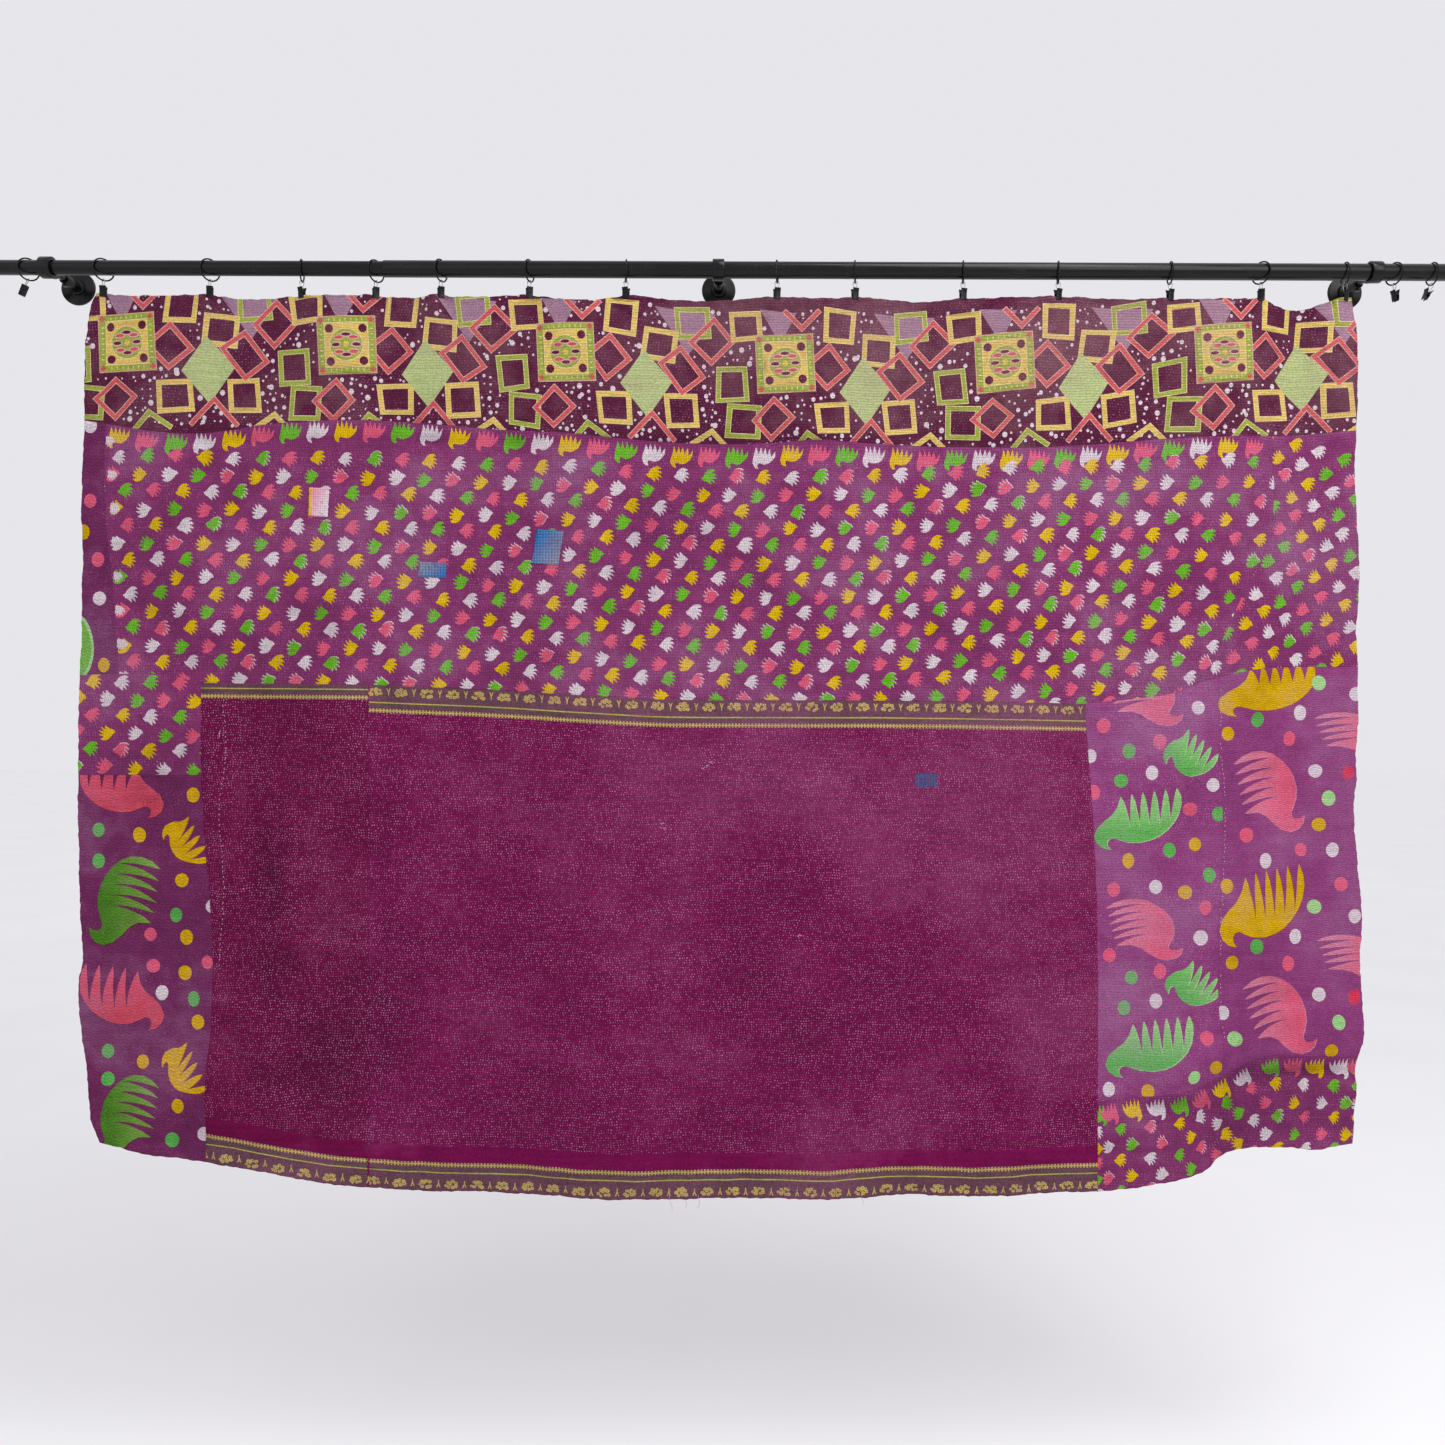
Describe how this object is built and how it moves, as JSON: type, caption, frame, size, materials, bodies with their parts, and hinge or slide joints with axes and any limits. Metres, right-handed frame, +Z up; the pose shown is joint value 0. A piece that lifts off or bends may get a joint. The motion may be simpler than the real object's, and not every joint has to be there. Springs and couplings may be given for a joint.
{
  "type": "kantha quilt on wall rail",
  "caption": "Patched kantha quilt sewn all over with running stitch, hung face on by ring clips from a black wall rail on brackets.",
  "frame": {"origin": "centre of the middle flange's back face, on the wall, level with the rail's centreline", "axes": "+X along the rail to the right, +Y into the wall, +Z up"},
  "size_m": [2.708, 0.1211, 1.6088],
  "materials": {
    "black_metal": "satin black paint",
    "maroon_print": "printed cotton, quilted",
    "plum_print": "printed cotton, quilted",
    "plum_field": "woven cotton, quilted",
    "patch_blue": "worn cotton patch",
    "patch_pale": "worn cotton patch"
  },
  "bodies": {
    "root": {"panel_top_band": "maroon_print", "panel_left_strip": "plum_print", "panel_leaf": "plum_print", "panel_right_leaf": "plum_print", "panel_left_leaf": "plum_print", "panel_left_border": "plum_print", "panel_field_left": "plum_field", "panel_field_right": "plum_field", "panel_right_inner": "plum_print", "panel_right_outer": "plum_print", "panel_foot_strip": "plum_print", "patch_blue": "patch_blue", "patch_blue_small": "patch_blue", "patch_pale": "patch_pale", "rail_tube_outer": "black_metal", "rail_tube_inner": "black_metal", "rail_cap_left": "black_metal", "rail_cap_right": "black_metal", "flange_left": "black_metal", "flange_middle": "black_metal", "flange_right": "black_metal", "stem_left": "black_metal", "stem_middle": "black_metal", "stem_right": "black_metal", "ring_01": "black_metal", "ring_02": "black_metal", "ring_03": "black_metal", "ring_04": "black_metal", "ring_05": "black_metal", "ring_06": "black_metal", "ring_07": "black_metal", "ring_08": "black_metal", "ring_09": "black_metal", "ring_10": "black_metal", "ring_11": "black_metal", "ring_12": "black_metal", "ring_13": "black_metal", "ring_14": "black_metal", "ring_15": "black_metal", "ring_16": "black_metal", "ring_17": "black_metal", "clip_01": "black_metal", "clip_02": "black_metal", "clip_03": "black_metal", "clip_04": "black_metal", "clip_05": "black_metal", "clip_06": "black_metal", "clip_07": "black_metal", "clip_08": "black_metal", "clip_09": "black_metal", "clip_10": "black_metal", "clip_11": "black_metal", "clip_12": "black_metal", "clip_13": "black_metal", "clip_14": "black_metal", "clip_15": "black_metal", "clip_16": "black_metal", "clip_17": "black_metal"}
  },
  "joints": []
}
